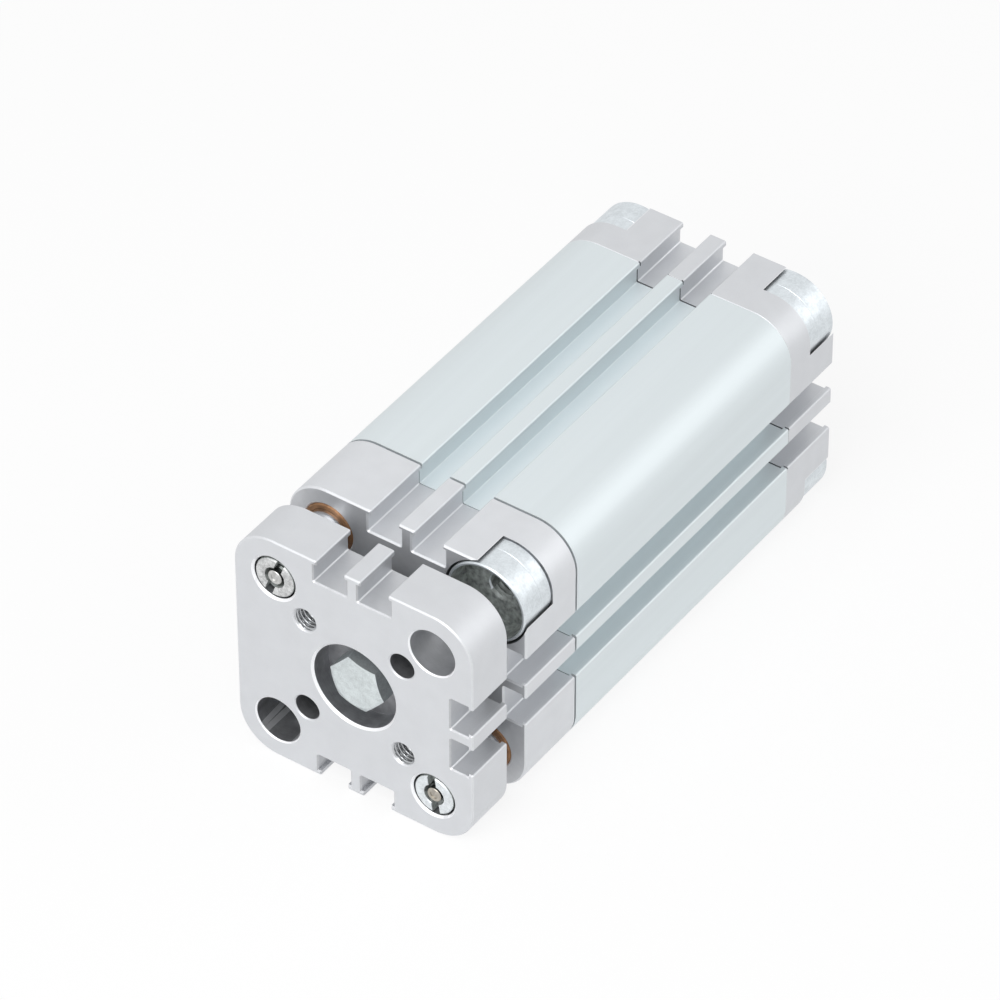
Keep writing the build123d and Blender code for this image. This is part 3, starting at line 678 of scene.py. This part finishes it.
def thread_tree():
    """Geometry Nodes: rings with a helical thread cut in the bore and a countersunk mouth, Count of them."""
    tree = bpy.data.node_groups.new("Threaded ring", "GeometryNodeTree")
    for name, kind in THREAD_INPUTS:
        tree.interface.new_socket(name, in_out="INPUT", socket_type=kind)
    tree.interface.new_socket("Geometry", in_out="OUTPUT", socket_type="NodeSocketGeometry")
    given = put(tree, "NodeGroupInput").outputs
    turns = calc(tree, "DIVIDE", given["Length"], given["Pitch"])
    rows = calc(tree, "CEIL", calc(tree, "MULTIPLY", turns, given["Rows per Pitch"]))
    last = calc(tree, "ADD", rows, 2.0)
    grid = put(tree, "GeometryNodeMeshGrid", {
        "Size X": 1.0, "Size Y": 1.0, "Vertices X": calc(tree, "ADD", given["Sides"], 1.0),
        "Vertices Y": calc(tree, "ADD", last, 1.0)})
    flat = put(tree, "ShaderNodeSeparateXYZ", {"Vector": put(tree, "GeometryNodeInputPosition").outputs[0]})
    around = calc(tree, "ADD", flat.outputs["X"], 0.5)
    row = calc(tree, "ROUND", calc(tree, "MULTIPLY", calc(tree, "ADD", flat.outputs["Y"], 0.5), last))
    share = calc(tree, "DIVIDE", calc(tree, "SUBTRACT", row, 1.0), calc(tree, "SUBTRACT", rows, 1.0))
    inside_share = calc(tree, "MINIMUM", calc(tree, "MAXIMUM", share, 0.0), 1.0)
    is_closing = calc(tree, "GREATER_THAN", row, calc(tree, "SUBTRACT", last, 0.5))
    is_wall = calc(tree, "MAXIMUM", calc(tree, "LESS_THAN", row, 0.5),
                   calc(tree, "GREATER_THAN", row, calc(tree, "ADD", rows, 0.5)))
    depth = calc(tree, "MULTIPLY", calc(tree, "MULTIPLY", inside_share, given["Length"]),
                 calc(tree, "SUBTRACT", 1.0, is_closing))
    turn = calc(tree, "ADD", calc(tree, "SUBTRACT", calc(tree, "DIVIDE", depth, given["Pitch"]), around),
                given["Start"])
    phase = calc(tree, "FRACT", turn)
    beside = calc(tree, "ABSOLUTE", calc(tree, "SUBTRACT", calc(tree, "MULTIPLY", phase, 2.0), 1.0))
    groove = put(tree, "ShaderNodeMapRange", {
        "Value": beside, "From Min": ROOT_FLAT, "From Max": CREST_FLAT,
        "To Min": given["Root Radius"], "To Max": given["Crest Radius"]}).outputs["Result"]
    cone = calc(tree, "SUBTRACT", given["Mouth Radius"], depth)
    bore = calc(tree, "MAXIMUM", groove, cone)
    wall_part = calc(tree, "MULTIPLY", is_wall, calc(tree, "SUBTRACT", given["Wall Radius"], bore))
    radius = calc(tree, "ADD", bore, wall_part)
    angle = calc(tree, "MULTIPLY", around, 2 * pi)
    position = put(tree, "ShaderNodeCombineXYZ", {
        "X": calc(tree, "MULTIPLY", radius, calc(tree, "COSINE", angle)),
        "Y": calc(tree, "MULTIPLY", radius, calc(tree, "SINE", angle)), "Z": depth})
    bent = put(tree, "GeometryNodeSetPosition", {
        "Geometry": grid.outputs["Mesh"], "Position": position.outputs["Vector"]}).outputs["Geometry"]
    closed = put(tree, "GeometryNodeMergeByDistance", {
        "Geometry": bent, "Distance": MERGE}).outputs["Geometry"]
    ring = put(tree, "GeometryNodeFlipFaces", {"Mesh": closed}).outputs["Mesh"]
    places = put(tree, "GeometryNodeMeshLine", {
        "Count": given["Count"], "Start Location": given["First"], "Offset": given["Step"]}, mode="OFFSET")
    rotation = put(tree, "FunctionNodeEulerToRotation", {"Euler": given["Turn"]}).outputs["Rotation"]
    instances = put(tree, "GeometryNodeInstanceOnPoints", {
        "Points": places.outputs["Mesh"], "Instance": ring, "Rotation": rotation}).outputs["Instances"]
    real = put(tree, "GeometryNodeRealizeInstances", {"Geometry": instances}).outputs["Geometry"]
    smooth = put(tree, "GeometryNodeSetShadeSmooth", {"Geometry": real}).outputs["Geometry"]
    painted = put(tree, "GeometryNodeSetMaterial", {
        "Geometry": smooth, "Material": given["Material"]}).outputs["Geometry"]
    put(tree, "NodeGroupOutput", {"Geometry": painted})
    return tree


def grown(tree, values):
    """Plain mesh that a Geometry Nodes tree makes from named input values."""
    holder = bpy.data.objects.new(tree.name, bpy.data.meshes.new(tree.name))
    bpy.context.scene.collection.objects.link(holder)
    modifier = holder.modifiers.new(tree.name, "NODES")
    modifier.node_group = tree
    for socket in tree.interface.items_tree:
        if socket.in_out == "INPUT" and socket.name in values:
            modifier[socket.identifier] = values[socket.name]
    graph = bpy.context.evaluated_depsgraph_get()
    mesh = bpy.data.meshes.new_from_object(holder.evaluated_get(graph), depsgraph=graph)
    holder.modifiers.clear()
    bpy.data.objects.remove(holder)
    return mesh


def threads(material, mouths, inward, crest, root, pitch, length, mouth_radius):
    """Shape of the thread rings whose mouths lie at those points, with the bores running inward."""
    sizes = bpy.context.scene.cylinder_threads
    tree = bpy.data.node_groups.get("Threaded ring") or thread_tree()
    step = Vector(mouths[1]) - Vector(mouths[0]) if len(mouths) > 1 else Vector()
    turn = Vector((0, 0, 1)).rotation_difference(Vector(inward)).to_euler()
    mesh = grown(tree, {
        "Count": len(mouths), "First": tuple(mouths[0]), "Step": tuple(step), "Turn": tuple(turn),
        "Crest Radius": crest, "Root Radius": root, "Wall Radius": root + sizes.wall, "Pitch": pitch,
        "Length": length, "Mouth Radius": mouth_radius, "Start": 0.0, "Rows per Pitch": sizes.rows,
        "Sides": sizes.sides, "Material": material})
    mesh.set_sharp_from_angle(angle=SHARP_ANGLE)
    shape = shape_of(mesh)
    bpy.data.meshes.remove(mesh)
    return shape


def cut_threads(shape, material, mouths, inward, crest, edge, root, pitch, length):
    """The shape with its plain bores of the crest radius opened up, and thread rings set in them."""
    wall = root + bpy.context.scene.cylinder_threads.wall
    for mouth in mouths:
        widen(shape, mouth, inward, length, crest, wall)
        widen(shape, mouth, inward, 0, crest + edge, wall)
    return [shape, threads(material, mouths, inward, crest, root, pitch, length, wall)]


# Pieces

# Zinc plate of each piece: size of its patches, and how dark they are.
SCREW_ZINC = (1.4 * MM, 0.88)
BOLT_ZINC = (1.1 * MM, 0.82)
NUT_PATCH = 0.9 * MM
NUT_DARK = 0.5
CLEAR_NUT_DARK = 0.78
PISTON_NUT_ZINC = (1.2 * MM, 0.8)
# Rubber, plastic and magnet: size of the speckle, roughness and contrast.
SEAL_LOOK = (0.2 * MM, 0.48, 0.15)
BUMPER_LOOK = (0.5 * MM, 0.6, 0.25)
PLASTIC_LOOK = (0.3 * MM, 0.45, 0.06)
MAGNET_LOOK = (0.15 * MM, 0.5, 0.3)


def dress(node, material):
    """Give a node its finish."""
    for slot in nodes[node].material_slots:
        slot.link = "OBJECT"
        slot.material = material


def finished(name, node, shapes, materials):
    """Finished piece that stands for a node and rides on its body, with the node hidden."""
    mesh = joined(name, shapes, materials)
    piece = bpy.data.objects.new(name, mesh)
    bpy.context.scene.collection.objects.link(piece)
    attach(piece, body_of[node])
    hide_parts(node)
    return piece


class CYLINDER_OT_barrel(Operator):
    """Finish of the slotted barrel"""

    bl_idname = "cylinder.barrel"
    bl_label = "Barrel"

    def execute(self, context):
        dress("barrel", extrusion_metal())
        return {"FINISHED"}


class CYLINDER_OT_caps(Operator):
    """Front and rear cap with their threaded ports"""

    bl_idname = "cylinder.caps"
    bl_label = "Caps"

    def execute(self, context):
        sizes = context.scene.cylinder_threads
        bright = thread_metal()
        crest = mounts["front_port"]["dims"]["r_mm"] * MM
        for cap in ("front_cap", "rear_cap"):
            is_front = cap == "front_cap"
            port = mounts[cap.replace("cap", "port")]["pos_m"]
            mouth = Vector((-body_side, port[1], port[2]))
            edge = abs(port[0] + body_side)
            length = mounts["front_port"]["dims"]["length_mm"] * MM + edge
            shape = shape_of(nodes[cap].data)
            metal = satin_metal(f"satin_{cap}", 1 if is_front else DULL_SHARE)
            if is_front:
                mark_bores(shape, [(x, z, POCKET) for x, z in CORNERS] + [(0, 0, POCKET)])
                # Painted shade on the pocket floors behind the cap's face.
                mark_ends(shape, cap_face + NEAR, cap_face + FRONT_DEEP, 1)
                # Painted shade: the cap's front face in the gap behind the plate gets part of the dark cut
                # look.
                mark_ends(shape, cap_face - NEAR, cap_face + NEAR, GAP_SHADE_SHARE)
                # Painted shade in the groove at the joint with the barrel, and in the slots' flares there.
                mark_grooves(shape, front_joint - JOINT_BAND, front_joint - NEAR, NEAR, GROOVE_DEEP)
                mark_flares(shape, front_joint - SLOT_FLARE, front_joint)
            else:
                mark_bores(shape, [(x, z, POCKET) for x, z in CORNERS])
                # Painted shade on the faces across the axis in the rear cap's pockets.
                mark_ends(shape, -REAR_DEEP, -MM, 1)
                # Painted shade in the slots' flares at the joint with the barrel.
                mark_flares(shape, rear_joint, rear_joint + SLOT_FLARE)
            mark_roots(shape)
            shapes = cut_threads(shape, bright, [mouth], (1, 0, 0), crest, edge,
                                 sizes.port_root, sizes.port_pitch, length)
            finished(f"{cap}_threaded", cap, shapes, [metal, bright])
        return {"FINISHED"}


class CYLINDER_OT_yoke_plate(Operator):
    """Yoke plate with its two threaded holes"""

    bl_idname = "cylinder.yoke_plate"
    bl_label = "Yoke plate"

    def execute(self, context):
        sizes = context.scene.cylinder_threads
        metal = satin_metal("satin_yoke_plate", DULL_SHARE)
        dims = mounts["yoke_threads"]["dims"]
        offset = dims["pcd_mm"] / 2 * MM * cos(pi / 4)
        mouths = [Vector((-offset, plate_front, offset)), Vector((offset, plate_front, -offset))]
        crest = dims["hole_r_mm"] * MM
        shape = shape_of(nodes["yoke_plate"].data)
        dowel = mounts["yoke_dowels"]["dims"]["hole_r_mm"] * MM + NEAR
        top_right, top_left, bottom_left, bottom_right = CORNERS
        # Painted shade in the access holes: the top right one gets less of the dark cut look, so its walls
        # are lighter.
        mark_bores(shape, [(*top_right, ACCESS)], TOP_RIGHT_HOLE_SHARE)
        mark_bores(shape, [(*bottom_left, ACCESS)])
        mark_bores(shape, [(0, 0, POCKET + MM), (offset, offset, dowel), (-offset, -offset, dowel)])
        mark_bores(shape, [(*top_left, NUT_MOUTH), (*bottom_right, NUT_MOUTH)])
        # Painted shade on the floors inside the plate, such as the counterbore's floor.
        mark_ends(shape, plate_front + MM, plate_back - NEAR, 1)
        # Painted shade: the plate's back face over the gap gets part of the dark cut look.
        mark_ends(shape, plate_back - NEAR, plate_back + NEAR, GAP_SHADE_SHARE)
        mark_slots(shape, plate_front, plate_front + ROOT, MOUTH_SHARE)
        mark_slots(shape, plate_front + ROOT, plate_back, SLOT_SHARE)
        mark_roots(shape)
        bright = bpy.data.materials["cut_thread"]
        shapes = cut_threads(shape, bright, mouths, (0, 1, 0), crest, HOLE_CHAMFER,
                             sizes.plate_root, sizes.plate_pitch, plate_back - plate_front)
        finished("yoke_plate_threaded", "yoke_plate", shapes, [metal, bright])
        return {"FINISHED"}


class CYLINDER_OT_collar_screws(Operator):
    """The six collar screws, each with a female thread in its head"""

    bl_idname = "cylinder.collar_screws"
    bl_label = "Collar screws"

    def execute(self, context):
        sizes = context.scene.cylinder_threads
        finish = context.scene.cylinder_finishes
        front = mounts["front_thread_1"]
        crest = front["dims"]["r_mm"] * MM
        cup = abs(mounts["rear_threads"]["pos_m"][1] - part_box("rear_collar_screw_1")[1].y)
        edge = abs(front["pos_m"][1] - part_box("front_collar_screw_1")[0].y) - cup
        length = front["dims"]["length_mm"] * MM + edge
        for node in sorted(nodes):
            if "collar_screw" not in node:
                continue
            low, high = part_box(node)
            centre = (low + high) / 2
            is_front = node.startswith("front")
            cup_floor = low.y + cup if is_front else high.y - cup
            mouth = Vector((centre.x, cup_floor, centre.z))
            inward = (0, 1 if is_front else -1, 0)
            metal = zinc_plate(f"zinc_plate_{node}", finish.screw, mouth, *SCREW_ZINC)
            shape = shape_of(nodes[node].data)
            # Painted shade with a mottled stain on the walls and floor of the cup inside the head.
            mark_bores(shape, [(centre.x, centre.z, POCKET)])
            mark_ends(shape, cup_floor - NEAR, cup_floor + NEAR, 1)
            shapes = cut_threads(shape, metal, [mouth], inward, crest, edge,
                                 sizes.screw_root, sizes.screw_pitch, length)
            # The thread inside the head gets the same painted shade.
            thread_marks = shapes[1][3]
            thread_marks[:, CUT] = 1
            finished(f"{node}_threaded", node, shapes, [metal])
        return {"FINISHED"}


class CYLINDER_OT_yoke_bolt(Operator):
    """Hexagon bolt in the plate's counterbore"""

    bl_idname = "cylinder.yoke_bolt"
    bl_label = "Yoke bolt"

    def execute(self, context):
        finish = context.scene.cylinder_finishes
        dress("yoke_bolt", zinc_plate("zinc_plate_bolt", finish.bolt, (0, plate_front, 0), *BOLT_ZINC))
        return {"FINISHED"}


class CYLINDER_OT_guide_rods(Operator):
    """Guide rods with their slotted nuts and bronze bushes"""

    bl_idname = "cylinder.guide_rods"
    bl_label = "Guide rods"

    def execute(self, context):
        finish = context.scene.cylinder_finishes
        bronze = sintered_bronze()
        looks = ((finish.stud, finish.nut, NUT_DARK), (finish.dull_stud, finish.clear_nut, CLEAR_NUT_DARK))
        for number, (stud, nut, dark) in enumerate(looks, 1):
            low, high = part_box(f"guide_rod_{number}")
            centre = (low + high) / 2
            dress(f"guide_rod_{number}", ground_chrome(centre, f"ground_chrome_guide_{number}", stud))
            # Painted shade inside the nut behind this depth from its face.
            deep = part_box(f"guide_rod_nut_{number}")[0].y + NUT_FACE
            dress(f"guide_rod_nut_{number}",
                  zinc_plate(f"zinc_plate_nut_{number}", nut, centre, NUT_PATCH, dark, deep))
            dress(f"guide_bush_{number}", bronze)
        return {"FINISHED"}


class CYLINDER_OT_rod_and_piston(Operator):
    """Piston rod, the piston's pieces and the rod's bush"""

    bl_idname = "cylinder.rod_and_piston"
    bl_label = "Rod and piston"

    def execute(self, context):
        finish = context.scene.cylinder_finishes
        dress("piston_rod", ground_chrome((0, 0, 0), "ground_chrome_rod"))
        metal = turned_aluminium()
        for node in ("piston_front_half", "piston_rear_half"):
            dress(node, metal)
        dress("piston_nut", zinc_plate("zinc_plate_piston_nut", finish.nut, (0, 0, 0), *PISTON_NUT_ZINC))
        dress("piston_magnet", matte("bound_magnet", finish.magnet, *MAGNET_LOOK))
        dress("piston_guide_ring", matte("slide_plastic", finish.plastic, *PLASTIC_LOOK))
        dress("rod_bush", bpy.data.materials["sintered_bronze"])
        return {"FINISHED"}


class CYLINDER_OT_seals(Operator):
    """All rubber rings and bumpers"""

    bl_idname = "cylinder.seals"
    bl_label = "Seals and bumpers"

    def execute(self, context):
        finish = context.scene.cylinder_finishes
        seal = matte("seal_rubber", finish.rubber, *SEAL_LOOK)
        bumper = matte("bumper_rubber", finish.rubber, *BUMPER_LOOK)
        for node in nodes:
            if slot_of[node] == "seal_rubber":
                dress(node, seal)
            elif slot_of[node] == "bumper_rubber":
                dress(node, bumper)
        return {"FINISHED"}


# Studio

# Directions from the object to the lamps.
KEY_SIDE = (0.10, -0.66, 0.75)
RIGHT_SIDE = (0.68, 0.58, 0.43)
DIRECT_RAYS = ("Is Camera Ray", "Is Glossy Ray", "Is Transmission Ray")
FLOOR_GAP = 0.02 * MM
SENSOR_WIDTH = 36


def camera_turn(azimuth, elevation, roll):
    """Rotation of a camera that looks down at an elevation, from an azimuth about Z, with a small roll."""
    back = Vector((sin(azimuth) * cos(elevation), -cos(azimuth) * cos(elevation), sin(elevation)))
    right = Vector((cos(azimuth), sin(azimuth), 0))
    up = back.cross(right)
    turned_right = right * cos(roll) + up * sin(roll)
    turned_up = up * cos(roll) - right * sin(roll)
    return Matrix((turned_right, turned_up, back)).transposed()


def area_lamp(name, toward, radiance, middle):
    """Square lamp that faces the object from a direction."""
    studio = bpy.context.scene.cylinder_studio
    data = bpy.data.lights.new(name, "AREA")
    data.size = studio.lamp_size
    data.energy = radiance * pi * studio.lamp_size ** 2
    lamp = bpy.data.objects.new(name, data)
    away = Vector(toward).normalized()
    lamp.location = middle + away * studio.lamp_distance
    lamp.rotation_euler = away.to_track_quat("Z", "Y").to_euler()
    bpy.context.scene.collection.objects.link(lamp)


def seen_directly(tree):
    """1 for rays of the camera, of mirrors and of glass, and 0 for all others."""
    path = put(tree, "ShaderNodeLightPath").outputs
    found = path[DIRECT_RAYS[0]]
    for kind in DIRECT_RAYS[1:]:
        found = calc(tree, "MAXIMUM", found, path[kind])
    return found


def studio_world(studio):
    """White backdrop, and an even room light on the object."""
    world = bpy.data.worlds.new("studio")
    world.use_nodes = True
    tree = world.node_tree
    tree.nodes.clear()
    direct = seen_directly(tree)
    strength = put(tree, "ShaderNodeMix", {"Factor": direct, "A": studio.fill, "B": studio.background})
    background = put(tree, "ShaderNodeBackground", {
        "Color": (1, 1, 1, 1), "Strength": strength.outputs["Result"]})
    put(tree, "ShaderNodeOutputWorld", {"Surface": background.outputs["Background"]})
    bpy.context.scene.world = world


def floor_material(studio):
    """White floor that keeps the object's soft shadow, lifted to the backdrop's white for the camera."""
    material, tree = new_material("studio_floor")
    diffuse = put(tree, "ShaderNodeBsdfDiffuse", {"Color": (*studio.floor_colour, 1)})
    white = put(tree, "ShaderNodeEmission", {"Color": (1, 1, 1, 1), "Strength": studio.background})
    direct = seen_directly(tree)
    factor = calc(tree, "MULTIPLY", direct, studio.floor_lift)
    mix = put(tree, "ShaderNodeMixShader", {"Fac": factor})
    tree.links.new(diffuse.outputs["BSDF"], mix.inputs[1])
    tree.links.new(white.outputs["Emission"], mix.inputs[2])
    put(tree, "ShaderNodeOutputMaterial", {"Surface": mix.outputs["Shader"]})
    return material


class CYLINDER_OT_stage(Operator):
    """Camera, lamps, backdrop and floor"""

    bl_idname = "cylinder.stage"
    bl_label = "Studio"

    def execute(self, context):
        scene = context.scene
        studio = scene.cylinder_studio
        data = bpy.data.cameras.new("camera")
        data.sensor_width = SENSOR_WIDTH
        data.lens = studio.lens
        camera = bpy.data.objects.new("camera", data)
        turn = camera_turn(studio.azimuth, studio.elevation, studio.roll)
        camera.matrix_world = Matrix.Translation(studio.eye) @ turn.to_4x4()
        scene.collection.objects.link(camera)
        scene.camera = camera
        middle = (Vector(frame_bounds[0]) + Vector(frame_bounds[1])) / 2
        area_lamp("key_lamp", KEY_SIDE, studio.key_lamp, middle)
        area_lamp("side_lamp", RIGHT_SIDE, studio.side_lamp, middle)
        studio_world(studio)
        half = studio.floor_size / 2
        height = floor_height - FLOOR_GAP
        mesh = bpy.data.meshes.new("floor")
        corners = [(-half, -half, height), (half, -half, height), (half, half, height), (-half, half, height)]
        mesh.from_pydata(corners, [], [(0, 1, 2, 3)])
        mesh.materials.append(floor_material(studio))
        floor = bpy.data.objects.new("floor", mesh)
        scene.collection.objects.link(floor)
        scene.view_settings.view_transform = "Standard"
        return {"FINISHED"}


PIECE_OPERATORS = (
    CYLINDER_OT_barrel, CYLINDER_OT_caps, CYLINDER_OT_yoke_plate, CYLINDER_OT_collar_screws,
    CYLINDER_OT_yoke_bolt, CYLINDER_OT_guide_rods, CYLINDER_OT_rod_and_piston, CYLINDER_OT_seals,
)
OPERATORS = (*PIECE_OPERATORS, CYLINDER_OT_stage)
SETTINGS = {
    "cylinder_threads": CylinderThreads,
    "cylinder_finishes": CylinderFinishes,
    "cylinder_studio": CylinderStudio,
}


class CYLINDER_PT_sidebar(Panel):
    """Lists the pieces, the studio and their settings"""

    bl_idname = "CYLINDER_PT_sidebar"
    bl_label = "Guided cylinder"
    bl_space_type = "VIEW_3D"
    bl_region_type = "UI"
    bl_category = "Cylinder"

    def draw(self, context):
        for operator in OPERATORS:
            self.layout.operator(operator.bl_idname)
        for name, group in SETTINGS.items():
            box = self.layout.box()
            box.label(text=group.__doc__)
            for key in group.__annotations__:
                box.prop(getattr(context.scene, name), key)


def register():
    """Add the classes, and the settings to the scene."""
    for group in SETTINGS.values():
        bpy.utils.register_class(group)
    for name, group in SETTINGS.items():
        setattr(bpy.types.Scene, name, PointerProperty(type=group))
    for item in (*OPERATORS, CYLINDER_PT_sidebar):
        bpy.utils.register_class(item)


def unregister():
    """Take the classes and settings away again."""
    for item in reversed((*OPERATORS, CYLINDER_PT_sidebar)):
        bpy.utils.unregister_class(item)
    for name, group in SETTINGS.items():
        delattr(bpy.types.Scene, name)
        bpy.utils.unregister_class(group)


def main():
    """Make every piece and the studio."""
    register()
    for operator in OPERATORS:
        family, name = operator.bl_idname.split(".")
        getattr(getattr(bpy.ops, family), name)()


if __name__ == "__main__":
    main()
